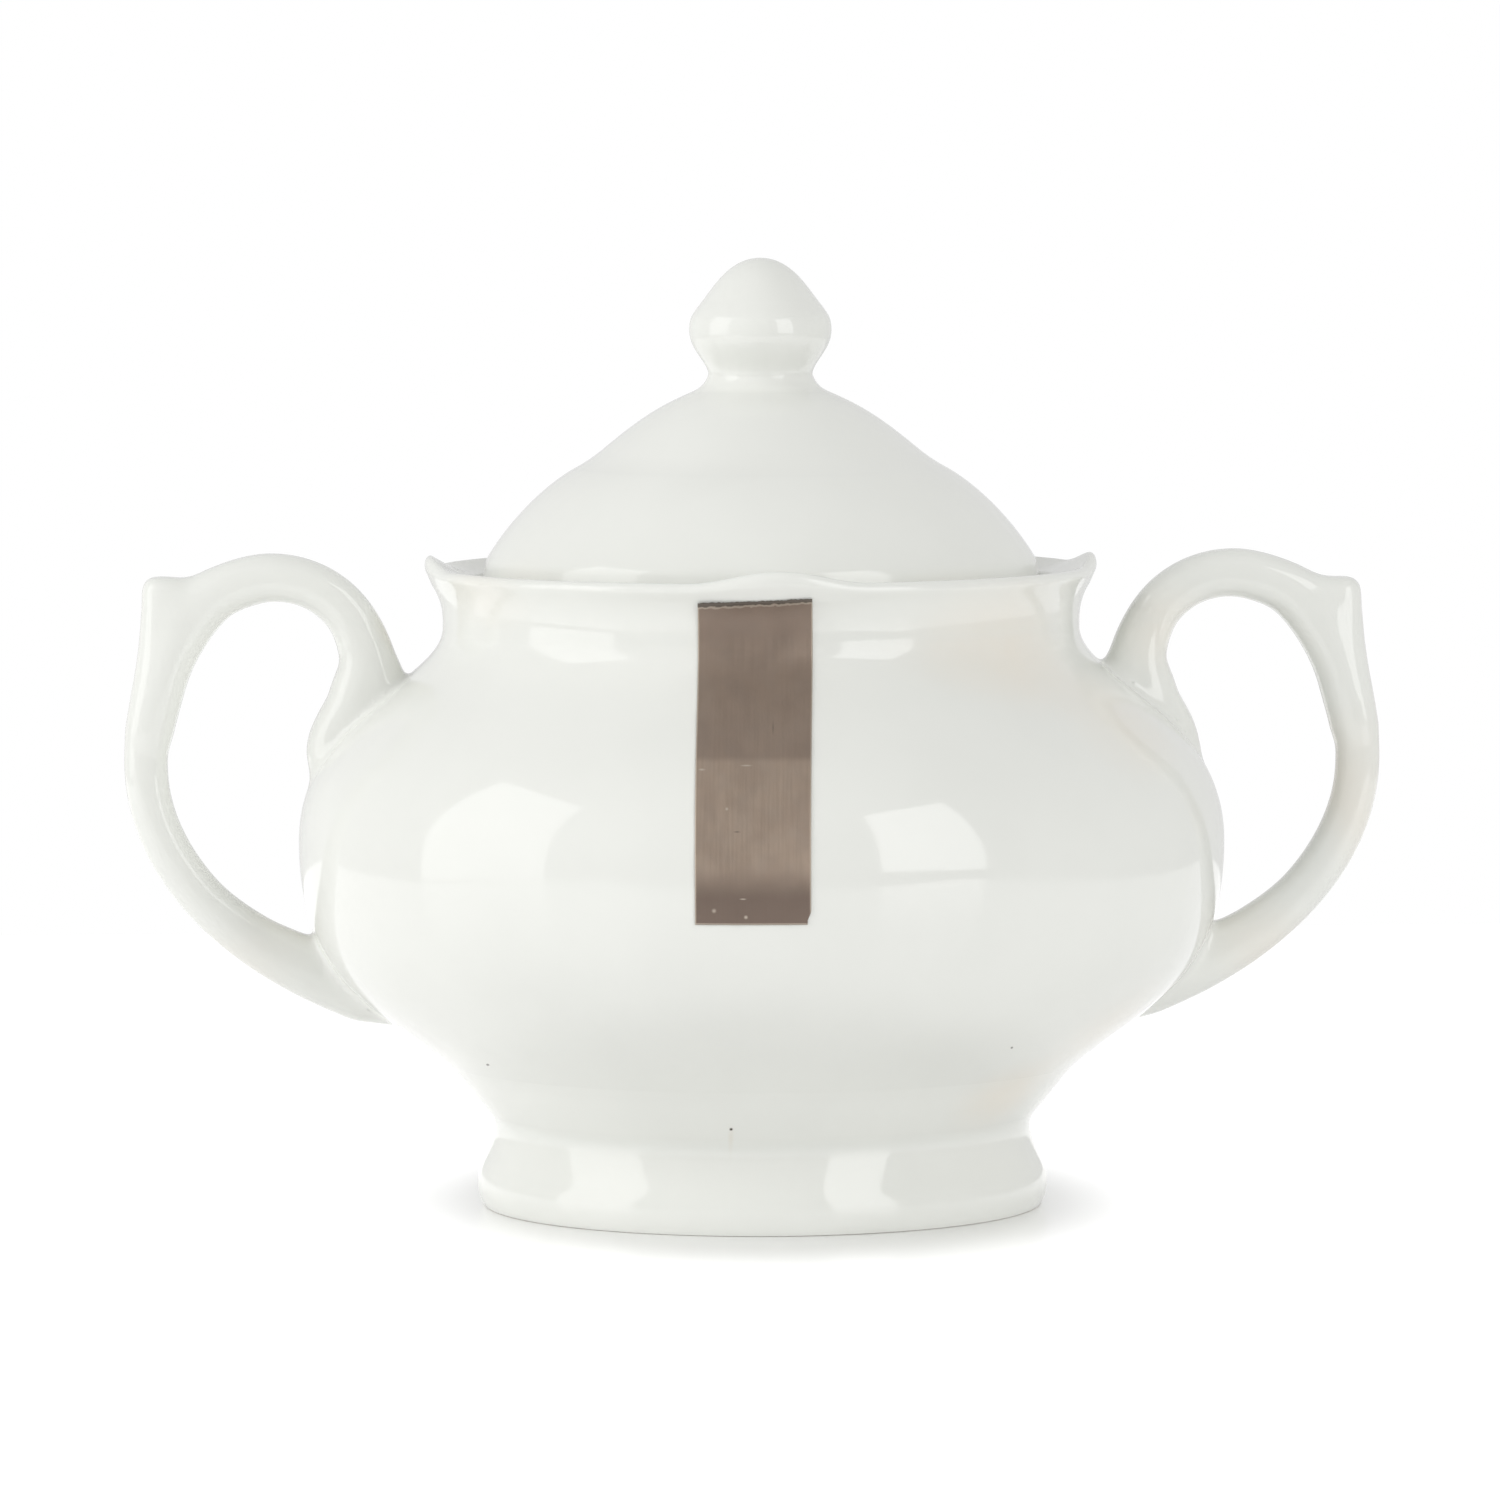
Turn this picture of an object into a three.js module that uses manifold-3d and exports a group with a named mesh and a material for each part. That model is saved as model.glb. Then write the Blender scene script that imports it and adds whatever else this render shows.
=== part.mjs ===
// Lidded sugar bowl of glazed porcelain: a round belly on a pedestal foot, two looped handles with
// thumb spurs, a rim with four low peaks and a ledge inside it, a domed lid that drops onto the
// ledge, a ball knob, and a foil label down the front. Millimetres, +Z up. The foot stands on
// Z = 0, the handles lie along X and the label faces -Y.

import * as THREE from 'three';
import { mergeVertices } from 'three/addons/utils/BufferGeometryUtils.js';
import Module from 'manifold-3d';

const wasm = await Module();
wasm.setup();

// Walls, the joint line between pieces that are luted together, and how far cutters overrun
const bowlWall = 3;
const lidWall = 2.8;
const footWall = 3.4;
const seam = 0.3;
const cutOverrun = 4;

// Pedestal foot: a flared ring with a waist, then a cone up to the belly
const footRadius = 37.7;
const footBulgeRise = 2.9;
const footEdge = 1.4;
const contactRingWidth = 2.2;
const waistRadius = 35.2;
const waistRise = 8.1;
const coneRise = 7.3;
const bellySeatRadius = 41.2;
const bellySeatWidth = 7.4;
const bellySeatDrop = 3.1;
const bowlUndersideDrop = 1;

// Belly and collar
const bellyRadius = 61.05;
const bellyLowerRise = 29.9;
const bellyUpperRise = 28.1;
const neckRadius = 41.95;
const neckBandRise = 0.8;
const collarRise = 7.2;
const rimFlare = 2.35;
const lipThickness = 2.4;
const rimPeakRise = 1.6;
const rimPeakCount = 4;
const rimPeakSpan = 32;

// Angles round the lip's edge, from where the collar meets it to where the dish inside begins
const lipAngles = [-20, 0, 35, 70, 105, 150];

// Ledge inside the collar, which carries the lid
const ledgeDepth = 2.8;
const ledgeWidth = 4.3;
const ledgeThickness = 2.5;
const collarWall = 2.65;
const ledgeEdge = 0.4;

// Lid: a dome with a step below its crown, an edge on the ledge and a locating flange
const lidPlay = 1.8;
const flangePlay = 0.8;
const flangeWall = 2.8;
const flangeDepth = 8;
const lidRise = 26.1;
const lidEdgeRise = 0.7;
const lidEdgeInset = 0.6;

// Knob
const knobRadius = 9.37;
const knobNeckRadius = 6.9;
const knobBaseRadius = 7.4;
const knobRise = 16.6;

// Handles: the reach beyond the belly, and the rod's size half way down the grip
const handleReach = 21.7;
const handleThickness = 5.6;
const handleWidth = 8;

// Label
const labelWidth = 15.2;
const labelDrop = 40;
const labelTopGap = 2.5;
const labelThickness = 0.25;
const labelTurn = -3.7;

// How finely round shapes are divided
const roundSides = 48;
const knobSides = 32;
const rodSides = 12;
const loopSteps = 36;

// Heights above the table, stacked from the foot up
const waistHeight = footBulgeRise + waistRise;
const footHeight = waistHeight + coneRise;
const bellyHeight = footHeight + bellyLowerRise;
const neckHeight = bellyHeight + bellyUpperRise;
const collarFoot = neckHeight + neckBandRise;
const rimHeight = collarFoot + collarRise;
const ledgeHeight = rimHeight - ledgeDepth;
const lidBase = ledgeHeight + seam;
const lidTop = lidBase + lidRise;
const knobBase = lidTop + seam;

// Radii that follow from the ones above
const rimRadius = neckRadius + rimFlare;
const collarInnerRadius = neckRadius - collarWall;
const throatRadius = collarInnerRadius - ledgeWidth;
const lidRadius = collarInnerRadius - lidPlay;
const flangeRadius = throatRadius - flangePlay;
const flangeInnerRadius = flangeRadius - flangeWall;
const footBaseRadius = footRadius - footEdge;
const footInnerRadius = waistRadius - footWall;
const seatInnerRadius = bellySeatRadius - bellySeatWidth;

// Shapes of the smooth stretches of outline. Each pair of pulls is in shares of the stretch's
// way out and its way up.
const footBulgePullShares = [[0.55, 0], [1, 0.45]];
const footWaistPullShares = [[0, 0.3], [0.55, 0.34]];
const bellyLowerPullShares = [[0.5, 0.29], [1, 0.37]];
const bellyUpperPullShares = [[0, 0.6], [1, 0.75]];
const collarPullShares = [[0, 0.6], [0.79, 0.86]];
const bowlFloorPullShares = [[0.08, 0.55], [0.3, 1]];
const lidCrownPullShares = [[0.4, 0.26], [0.55, 0.4]];
const lidSkirtPullShares = [[0.56, 0.24], [0.96, 0.8]];
const knobUnderPullShares = [[-0.13, 0.25], [1, 0.56]];
const knobSidePullShares = [[0, 0.43], [0.21, 0.64]];
const knobTopPullShares = [[0.22, 0.31], [0.47, 1]];

// Where the lid's step and the knob's neck, widest place and shoulder lie
const lidStepRadiusShare = 0.6;
const lidStepRiseShare = 0.629;
const knobNeckRiseShare = 0.066;
const knobWidestRiseShare = 0.424;
const knobShoulderRiseShare = 0.607;
const knobShoulderRadiusShare = 0.888;

// Stations of the handle's loop, from the shoulder over the arch and down to the belly, and of the
// thumb spur from the leg up. Each gives its way out as a share of the reach, its way up as a share
// of the bowl's height above the foot, and the rod's thickness and width there.
const loopStationShares = [
  [-0.334, 0.548, 0.93, 0.95],
  [-0.297, 0.617, 1.39, 1.25],
  [-0.463, 0.73, 1.86, 1.4],
  [-0.468, 0.818, 1.29, 1.2],
  [-0.348, 0.911, 1.13, 1.05],
  [-0.141, 0.965, 1.11, 1.03],
  [0.118, 0.982, 1.14, 1.05],
  [0.389, 0.953, 1.29, 1.05],
  [0.514, 0.923, 1.46, 1.08],
  [0.615, 0.868, 1.25, 1.06],
  [0.763, 0.765, 1.11, 1.03],
  [0.864, 0.655, 1.04, 1],
  [0.85, 0.541, 1, 1],
  [0.735, 0.438, 1, 1],
  [0.523, 0.339, 1.04, 1],
  [0.228, 0.258, 1.16, 1.08],
  [-0.113, 0.198, 1.41, 1.2],
  [-0.399, 0.156, 1.43, 1.25],
  [-0.546, 0.136, 1.14, 1.15],
];
const spurStationShares = [
  [0.827, 0.685, 0.86, 0.9],
  [0.795, 0.753, 1.07, 0.98],
  [0.763, 0.844, 1.07, 1],
  [0.747, 0.927, 1.05, 1],
  [0.746, 0.956, 1, 0.97],
  [0.746, 0.968, 0.82, 0.84],
  [0.746, 0.976, 0.5, 0.58],
];

// Profile point: distance from the axis, height
function at(radius, height) {
  return new THREE.Vector2(radius, height);
}

// Points of a smooth stretch of outline, shaped by its two pulls
function stretch(from, to, pullShares, steps) {
  const pulls = pullShares.map(([outShare, upShare]) => at(
    from.x + outShare * (to.x - from.x),
    from.y + upShare * (to.y - from.y),
  ));
  return new THREE.CubicBezierCurve(from, pulls[0], pulls[1], to).getPoints(steps);
}

// The same points without the first, for joining onto a stretch that ends there
function onward(from, to, pullShares, steps) {
  return stretch(from, to, pullShares, steps).slice(1);
}

// Point of a circle in the profile's plane, by its angle above the way out
function onCircle(centre, radius, degrees) {
  const angle = THREE.MathUtils.degToRad(degrees);
  return at(centre.x + radius * Math.cos(angle), centre.y + radius * Math.sin(angle));
}

// Middle and radius of the lip's round edge
function lipCircle() {
  const radius = lipThickness / 2;
  return { centre: at(rimRadius - radius, rimHeight - radius), radius };
}

// An outline that runs upwards, moved outwards by a distance, or inwards by a negative one
function offsetOutline(points, distance) {
  return points.map((point, index) => {
    const before = points[Math.max(index - 1, 0)];
    const after = points[Math.min(index + 1, points.length - 1)];
    const along = after.clone().sub(before).normalize();
    return at(point.x + distance * along.y, point.y - distance * along.x);
  });
}

// The part of a rising outline between two heights, with its ends exactly on them
function outlineBetween(points, low, high) {
  const crossing = (height) => {
    const index = points.findIndex((point) => point.y > height);
    const share = (height - points[index - 1].y) / (points[index].y - points[index - 1].y);
    return points[index - 1].clone().lerp(points[index], share);
  };
  const inside = points.filter((point) => point.y > low && point.y < high);
  return [crossing(low), ...inside, crossing(high)];
}

// Only the position attribute, with shared vertices merged
function mergedShape(geometry) {
  const bare = geometry.clone();
  bare.deleteAttribute('normal');
  bare.deleteAttribute('uv');
  return mergeVertices(bare);
}

// Body turned about the Z axis from a profile that starts and ends on the axis or closes on itself
function turned(profile, sides) {
  const geometry = new THREE.LatheGeometry(profile, sides);
  geometry.rotateX(Math.PI / 2);
  return mergedShape(geometry);
}

function toSolid(geometry) {
  const shape = mergedShape(geometry);
  return new wasm.Manifold(new wasm.Mesh({
    numProp: 3,
    vertProperties: Float32Array.from(shape.attributes.position.array),
    triVerts: Uint32Array.from(shape.index.array),
  }));
}

function toGeometry(solid) {
  const mesh = solid.getMesh();
  const geometry = new THREE.BufferGeometry();
  geometry.setAttribute('position', new THREE.BufferAttribute(Float32Array.from(mesh.vertProperties), 3));
  geometry.setIndex(new THREE.BufferAttribute(Uint32Array.from(mesh.triVerts), 1));
  return geometry;
}

// Outside of the belly and collar, from the foot up to where the lip's round edge begins
function bowlOutline() {
  const lip = lipCircle();
  const lipStart = onCircle(lip.centre, lip.radius, lipAngles[0]);
  const seat = at(bellySeatRadius, footHeight);
  const widest = at(bellyRadius, bellyHeight);
  return [
    ...stretch(seat, widest, bellyLowerPullShares, 8),
    ...onward(widest, at(neckRadius, neckHeight), bellyUpperPullShares, 9),
    ...stretch(at(neckRadius, collarFoot), lipStart, collarPullShares, 4),
  ];
}

// Underside of the belly where it sits on the foot's upper face, from the axis out
function bowlUnderside(lift) {
  const innerHeight = footHeight - bellySeatDrop;
  return [
    at(0, innerHeight - bowlUndersideDrop + lift),
    at(seatInnerRadius - bellySeatDrop, innerHeight - bowlUndersideDrop + lift),
    at(seatInnerRadius, innerHeight + lift),
  ];
}

// Belly, collar with its ledge, and floor, in one turned wall with four low peaks round the rim
function bowlBody() {
  const outline = bowlOutline();
  const lip = lipCircle();
  const innerWall = offsetOutline(outlineBetween(outline, footHeight, neckHeight), -bowlWall).reverse();
  const floorHeight = footHeight - bellySeatDrop - bowlUndersideDrop + bowlWall;
  const profile = [
    ...bowlUnderside(seam / 2),
    at(bellySeatRadius, footHeight + seam / 2),
    ...outline.slice(1),
    ...lipAngles.slice(1).map((degrees) => onCircle(lip.centre, lip.radius, degrees)),
    at(collarInnerRadius + ledgeEdge, ledgeHeight + ledgeEdge),
    at(collarInnerRadius, ledgeHeight),
    at(throatRadius + ledgeEdge, ledgeHeight),
    at(throatRadius, ledgeHeight - ledgeEdge),
    at(throatRadius, ledgeHeight - ledgeThickness),
    ...innerWall,
    ...onward(innerWall.at(-1), at(0, floorHeight), bowlFloorPullShares, 4),
  ];
  const shape = turned(profile, roundSides);
  raiseRimPeaks(shape);
  return shape;
}

// Lifts the lip into its low peaks, spaced evenly from the front
function raiseRimPeaks(shape) {
  const position = shape.attributes.position;
  const lipFoot = rimHeight - lipThickness;
  const spacing = 360 / rimPeakCount;
  for (let index = 0; index < position.count; index += 1) {
    const radius = Math.hypot(position.getX(index), position.getY(index));
    const height = position.getZ(index);
    const turn = THREE.MathUtils.radToDeg(Math.atan2(position.getX(index), -position.getY(index)));
    const away = Math.abs(turn - spacing * Math.round(turn / spacing)) / (rimPeakSpan / 2);
    const onLip = radius > collarInnerRadius + lipThickness / 2 && height > lipFoot;
    if (onLip && away < 1) {
      const crest = (1 + Math.cos(Math.PI * away)) / 2;
      position.setZ(index, height + rimPeakRise * crest * (height - lipFoot) / lipThickness);
    }
  }
}

// Hollow foot ring with a flat unglazed ring under it, a waist, and a cone that carries the belly
function pedestalFoot() {
  const bulge = at(footRadius, footBulgeRise);
  const waist = at(waistRadius, waistHeight);
  const ringInner = footBaseRadius - contactRingWidth;
  const profile = [
    at(ringInner, 0),
    ...stretch(at(footBaseRadius, 0), bulge, footBulgePullShares, 3),
    ...onward(bulge, waist, footWaistPullShares, 4),
    at(bellySeatRadius, footHeight - seam / 2),
    bowlUnderside(-seam / 2).at(-1),
    at(footInnerRadius, waistHeight),
    at(ringInner - footEdge / 2, footEdge / 2),
    at(ringInner, 0),
  ];
  return turned(profile, roundSides);
}

// Dome with its step, the edge that rests on the ledge, and the flange that keeps it centred
function lidShell() {
  const crownEdge = at(knobBaseRadius, lidTop);
  const step = at(lidRadius * lidStepRadiusShare, lidBase + lidRise * lidStepRiseShare);
  const edge = at(lidRadius, lidBase + lidEdgeRise);
  const skirt = stretch(step, edge, lidSkirtPullShares, 9);
  const crown = stretch(crownEdge, step, lidCrownPullShares, 5);
  const outside = [at(0, lidTop), ...crown, ...skirt.slice(1)].reverse();
  const inside = offsetOutline(outside, -lidWall)
    .filter((point) => point.x < flangeInnerRadius && point.x > 0);
  const flangeFoot = lidBase - flangeDepth;
  const profile = [
    at(0, lidTop - lidWall),
    ...inside.reverse(),
    at(flangeInnerRadius, lidBase + lidWall),
    at(flangeInnerRadius, flangeFoot + lidEdgeInset),
    at(flangeInnerRadius + lidEdgeInset, flangeFoot),
    at(flangeRadius - lidEdgeInset, flangeFoot),
    at(flangeRadius, flangeFoot + lidEdgeInset),
    at(flangeRadius, lidBase),
    at(lidRadius - lidEdgeInset, lidBase),
    ...outside,
  ];
  return turned(profile, roundSides);
}

function lidKnob() {
  const neck = at(knobNeckRadius, knobBase + knobRise * knobNeckRiseShare);
  const widest = at(knobRadius, knobBase + knobRise * knobWidestRiseShare);
  const shoulder = at(knobRadius * knobShoulderRadiusShare, knobBase + knobRise * knobShoulderRiseShare);
  const profile = [
    at(0, knobBase),
    at(knobBaseRadius, knobBase),
    ...stretch(neck, widest, knobUnderPullShares, 6),
    ...onward(widest, shoulder, knobSidePullShares, 2),
    ...onward(shoulder, at(0, knobBase + knobRise), knobTopPullShares, 6),
  ];
  return turned(profile, knobSides);
}

// Rod through stations of [out, up, thickness, width], bent in the XZ plane and closed at its ends
function rod(stations, steps) {
  const path = new THREE.CatmullRomCurve3(stations.map(([out, up]) => new THREE.Vector3(out, 0, up)));
  const sizes = new THREE.CatmullRomCurve3(
    stations.map(([, , thickness, width]) => new THREE.Vector3(thickness, width, 0)),
  );
  const points = [];
  const faces = [];
  for (let step = 0; step <= steps; step += 1) {
    const centre = path.getPoint(step / steps);
    const along = path.getTangent(step / steps);
    const size = sizes.getPoint(step / steps);
    for (let side = 0; side < rodSides; side += 1) {
      const angle = 2 * Math.PI * side / rodSides;
      const across = Math.cos(angle) * size.x / 2;
      points.push(
        centre.x - across * along.z,
        Math.sin(angle) * size.y / 2,
        centre.z + across * along.x,
      );
    }
  }
  const ring = (step, side) => step * rodSides + side % rodSides;
  for (let step = 0; step < steps; step += 1) {
    for (let side = 0; side < rodSides; side += 1) {
      faces.push(ring(step, side), ring(step + 1, side), ring(step, side + 1));
      faces.push(ring(step, side + 1), ring(step + 1, side), ring(step + 1, side + 1));
    }
  }
  for (let side = 1; side < rodSides - 1; side += 1) {
    faces.push(ring(0, 0), ring(0, side), ring(0, side + 1));
    faces.push(ring(steps, 0), ring(steps, side + 1), ring(steps, side));
  }
  const geometry = new THREE.BufferGeometry();
  geometry.setAttribute('position', new THREE.Float32BufferAttribute(points, 3));
  geometry.setIndex(faces);
  return geometry;
}

// Stations in millimetres from their shares of the handle's and the bowl's sizes
function stationsFrom(shares) {
  return shares.map(([outShare, upShare, thicknessShare, widthShare]) => [
    bellyRadius + handleReach * outShare,
    footHeight + (rimHeight - footHeight) * upShare,
    handleThickness * thicknessShare,
    handleWidth * widthShare,
  ]);
}

// Loop and thumb spur in one rod, ending where they meet the belly
function handle() {
  const loop = toSolid(rod(stationsFrom(loopStationShares), loopSteps));
  const spur = toSolid(rod(stationsFrom(spurStationShares), spurStationShares.length * 2));
  const belly = offsetOutline(bowlOutline(), seam);
  const cutter = toSolid(turned([at(0, belly[0].y), ...belly, at(0, belly.at(-1).y)], roundSides));
  return toGeometry(loop.add(spur).subtract(cutter));
}

// Strip of foil that follows the bowl from below the lip down over the belly
function frontLabel() {
  const top = rimHeight - labelTopGap;
  const under = outlineBetween(bowlOutline(), top - labelDrop, top);
  const inner = offsetOutline(under, seam);
  const outer = offsetOutline(under, seam + labelThickness);
  const band = toSolid(turned([...outer, ...inner.reverse(), outer[0]], roundSides));
  const reach = bellyRadius + cutOverrun;
  const strip = new THREE.BoxGeometry(labelWidth, reach, rimHeight + cutOverrun);
  strip.translate(0, -reach / 2, (rimHeight + cutOverrun) / 2);
  strip.rotateZ(THREE.MathUtils.degToRad(labelTurn));
  return toGeometry(band.intersect(toSolid(strip)));
}

// One named piece with its own finish
function piece(name, geometry, finish) {
  const shape = geometry.clone();
  shape.computeVertexNormals();
  const mesh = new THREE.Mesh(shape, new THREE.MeshStandardMaterial(finish));
  mesh.name = name;
  return mesh;
}

const glaze = { color: 0xe6e8e1, roughness: 0.12, metalness: 0 };
const foil = { color: 0x8f7e71, roughness: 0.45, metalness: 0.6 };

const rightHandle = piece('right_handle', handle(), glaze);
const leftHandle = piece('left_handle', handle(), glaze);
leftHandle.rotation.z = Math.PI;

const sugarBowl = new THREE.Group();
sugarBowl.add(piece('pedestal_foot', pedestalFoot(), glaze));
sugarBowl.add(piece('bowl_body', bowlBody(), glaze));
sugarBowl.add(leftHandle);
sugarBowl.add(rightHandle);
sugarBowl.add(piece('lid_shell', lidShell(), glaze));
sugarBowl.add(piece('lid_knob', lidKnob(), glaze));
sugarBowl.add(piece('front_label', frontLabel(), foil));

export default sugarBowl;
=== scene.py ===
import math

import bpy
import numpy as np
from mathutils import Matrix, Vector


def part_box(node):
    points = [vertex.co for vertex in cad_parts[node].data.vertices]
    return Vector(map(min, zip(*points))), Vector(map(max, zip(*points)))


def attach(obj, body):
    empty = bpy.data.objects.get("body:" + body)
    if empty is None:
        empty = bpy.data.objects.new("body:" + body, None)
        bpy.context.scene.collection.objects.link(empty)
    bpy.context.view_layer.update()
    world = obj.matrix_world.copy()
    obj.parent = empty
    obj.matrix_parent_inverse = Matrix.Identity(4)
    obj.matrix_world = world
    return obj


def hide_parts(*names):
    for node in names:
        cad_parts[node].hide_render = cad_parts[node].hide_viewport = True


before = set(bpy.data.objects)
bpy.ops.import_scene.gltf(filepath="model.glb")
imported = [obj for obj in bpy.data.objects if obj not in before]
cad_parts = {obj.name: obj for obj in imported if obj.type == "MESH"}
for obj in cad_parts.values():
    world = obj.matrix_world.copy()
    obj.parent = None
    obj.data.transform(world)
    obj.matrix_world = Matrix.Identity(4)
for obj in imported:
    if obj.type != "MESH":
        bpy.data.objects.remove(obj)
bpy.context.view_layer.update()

# Outlines and stations are in millimetres, and become metres where a mesh is made
MM = 0.001


def half_width(node):
    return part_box(node)[1].x / MM


def lowest(node):
    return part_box(node)[0].z / MM


def highest(node):
    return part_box(node)[1].z / MM


# Sizes that come from the frame
belly_radius = half_width("bowl_body")
lid_radius = half_width("lid_shell")
lid_top = highest("lid_shell")
flange_foot = lowest("lid_shell")
knob_radius = half_width("lid_knob")
knob_base = lowest("lid_knob")
knob_top = highest("lid_knob")

# Heights above the table
FOOT_BULGE_HEIGHT = 2.9
WAIST_HEIGHT = 11.0
FOOT_HEIGHT = 18.3
BELLY_HEIGHT = 48.2
NECK_HEIGHT = 76.3
COLLAR_FOOT = 77.1
RIM_PEAK_RISE = 1.6
rim_height = highest("bowl_body") - RIM_PEAK_RISE
LEDGE_DEPTH = 2.8
ledge_height = rim_height - LEDGE_DEPTH
FLANGE_DEPTH = 8.0
lid_base = flange_foot + FLANGE_DEPTH

# Radii, walls and edges
FOOT_RADIUS = 37.7
WAIST_RADIUS = 35.2
BELLY_SEAT_RADIUS = 41.2
NECK_RADIUS = 41.95
COLLAR_WALL = 4.05
LEDGE_WIDTH = 2.9
LEDGE_THICKNESS = 2.5
RIM_RADIUS = 44.3
LIP_THICKNESS = 1.5
LIP_FLARE = -27
FLARE_LOSS = 0.8
PEAK_REACH = 2.3
DISH_DEPTH = 1.5
DISH_REACH = 2.0
BOWL_WALL = 3.0
LID_WALL = 2.8
FLANGE_WALL = 2.8
FLANGE_PLAY = 0.8
FOOT_EDGE = 0.8
FOOT_WALL = 3.4
RING_WIDTH = 2.2
GLAZE_LINE = 0.03
LAP_RISE = 3.0
LAP_SINK = 0.12
LAP_TUCK = (-1.6, 0.4)
FOOT_SEAT_INSET = 8.0
UNDER_INSET = 3.0
UNDER_DROP = 1.2
BOTTOM_INSET = 10.5
BOTTOM_DROP = 4.1
DISH_LEAN = 0.4
FLANGE_ROUNDING = 1.1
collar_inner = NECK_RADIUS - COLLAR_WALL
throat_radius = collar_inner - LEDGE_WIDTH
flange_radius = throat_radius - FLANGE_PLAY
flange_inner = flange_radius - FLANGE_WALL

# Shapes of the smooth stretches of outline: two pulls, in shares of the way out and the way up
FOOT_BULGE_PULLS = ((0.5, 0.22), (1, 0.5))
FOOT_WAIST_PULLS = ((0, 0.3), (0.55, 0.34))
BELLY_LOWER_PULLS = ((0.5, 0.29), (1, 0.37))
BELLY_UPPER_PULLS = ((0, 0.6), (1, 0.75))
COLLAR_PULLS = ((0, 0.6), (0.79, 0.86))
BOWL_FLOOR_PULLS = ((0.08, 0.55), (0.3, 1))
LID_CROWN_PULLS = ((0.4, 0.26), (0.55, 0.4))
LID_SKIRT_PULLS = ((0.56, 0.24), (0.955, 0.84))
KNOB_UNDER_PULLS = ((-0.13, 0.25), (1, 0.56))
KNOB_SIDE_PULLS = ((0, 0.43), (0.21, 0.64))
KNOB_TOP_PULLS = ((0.22, 0.31), (0.47, 1))

# Rim peaks
PEAK_COUNT = 4
PEAK_SPAN = 32

# Lid and knob
LID_STEP_RADIUS_SHARE = 0.6
LID_STEP_RISE_SHARE = 0.629
LID_EDGE_RISE = 0.7
LID_EDGE_INSET = 0.6
LID_EDGE_LEAN = 0.1
LID_BAND_RISE = 3.4
LID_BAND_INSET = 0.8
LID_BAND_SOFTNESS = 0.6
LID_STEP_SOFTNESS = 2.5
lid_edge_radius = lid_radius - LID_BAND_INSET
KNOB_NECK_RADIUS = 6.9
KNOB_BASE_RADIUS = 7.4
KNOB_NECK_RISE_SHARE = 0.066
KNOB_WIDEST_RISE_SHARE = 0.424
KNOB_SHOULDER_RISE_SHARE = 0.607
KNOB_SHOULDER_RADIUS_SHARE = 0.888
KNOB_SKIRT_RADIUS = 11.5
KNOB_FILLET = 1.6
KNOB_SHOULDER_SOFTNESS = 1.2
KNOB_SINK = 0.6

# Handles: size of the rod half way down the grip, how square its section is, how far the pair sits
# to the left of the middle, and how softly it flows into what it meets
HANDLE_REACH = 21.7
HANDLE_THICKNESS = 5.6
HANDLE_WIDTH = 6.8
SECTION_POWER = 2.6
HANDLES_ASIDE = 1.0
SPUR_FILLET = 2.2
SPUR_RISE_SHARE = 0.979
SPUR_LIFT = 0.4
SPUR_SLOPE = 0.04
SPUR_ROUNDING = 2.4
ROOT_FILLET = 1.6
ROOT_DEPTH = 0.6
SKIN_LIFT = 0.006

# Stations of the handle's loop and of its thumb spur: way out as a share of the reach beyond the
# belly, way up as a share of the height from foot to rim, and shares of the rod's thickness and width
LOOP_STATIONS = (
    (-0.334, 0.548, 0.93, 0.95),
    (-0.309, 0.635, 1.66, 1.3),
    (-0.463, 0.73, 1.86, 1.4),
    (-0.47, 0.817, 1.33, 1.2),
    (-0.348, 0.911, 1.13, 1.05),
    (-0.141, 0.965, 1.11, 1.03),
    (0.118, 0.982, 1.14, 1.05),
    (0.396, 0.958, 1.2, 1.05),
    (0.53, 0.928, 1.29, 1.06),
    (0.633, 0.871, 1.11, 1.05),
    (0.778, 0.767, 0.985, 1.02),
    (0.87, 0.655, 1.03, 1),
    (0.855, 0.541, 1.02, 1),
    (0.739, 0.437, 1.035, 1),
    (0.523, 0.338, 1.06, 1),
    (0.228, 0.258, 1.2, 1.08),
    (-0.113, 0.198, 1.41, 1.2),
    (-0.399, 0.156, 1.43, 1.25),
    (-0.546, 0.136, 1.14, 1.15),
)
SPUR_STATIONS = (
    (0.84, 0.685, 0.86, 0.9),
    (0.811, 0.753, 1.04, 0.98),
    (0.779, 0.844, 1.07, 1),
    (0.761, 0.927, 1.05, 1),
    (0.76, 1.02, 1.05, 0.97),
)

# Label
LABEL_WIDTH = 14.6
LABEL_DROP = 39.7
LABEL_TOP_GAP = 2.1
LABEL_THICKNESS = 0.12
LABEL_LIFT = 0.02
LABEL_TURN = -4.1
LABEL_TILT = 0.33
LABEL_TEAR = 0.04
LABEL_NICK = 0.45
LABEL_NICK_RISE = 1.1
LABEL_RIPPLE = 0.035
LABEL_STEPS = (72, 170)

spur_top = FOOT_HEIGHT + (rim_height - FOOT_HEIGHT) * SPUR_RISE_SHARE

# How finely the meshes are divided
TURN_STEPS = 288
STRETCH_STEPS = 28
HANDLE_CELL = 0.42
STATION_STEPS = 14
BLOCK = 4


# Outlines

def point(radius, height):
    return np.array([[radius, height]], float)


def bezier(start, end, pulls, steps=STRETCH_STEPS):
    """Smooth stretch between two points, shaped by its two pulls."""
    start = np.asarray(start, float).reshape(2)
    end = np.asarray(end, float).reshape(2)
    first, second = (start + np.array(pull) * (end - start) for pull in pulls)
    t = np.linspace(0, 1, steps + 1)[:, None]
    return (1 - t) ** 3 * start + 3 * t * (1 - t) ** 2 * first + 3 * t**2 * (1 - t) * second + t**3 * end


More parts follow.
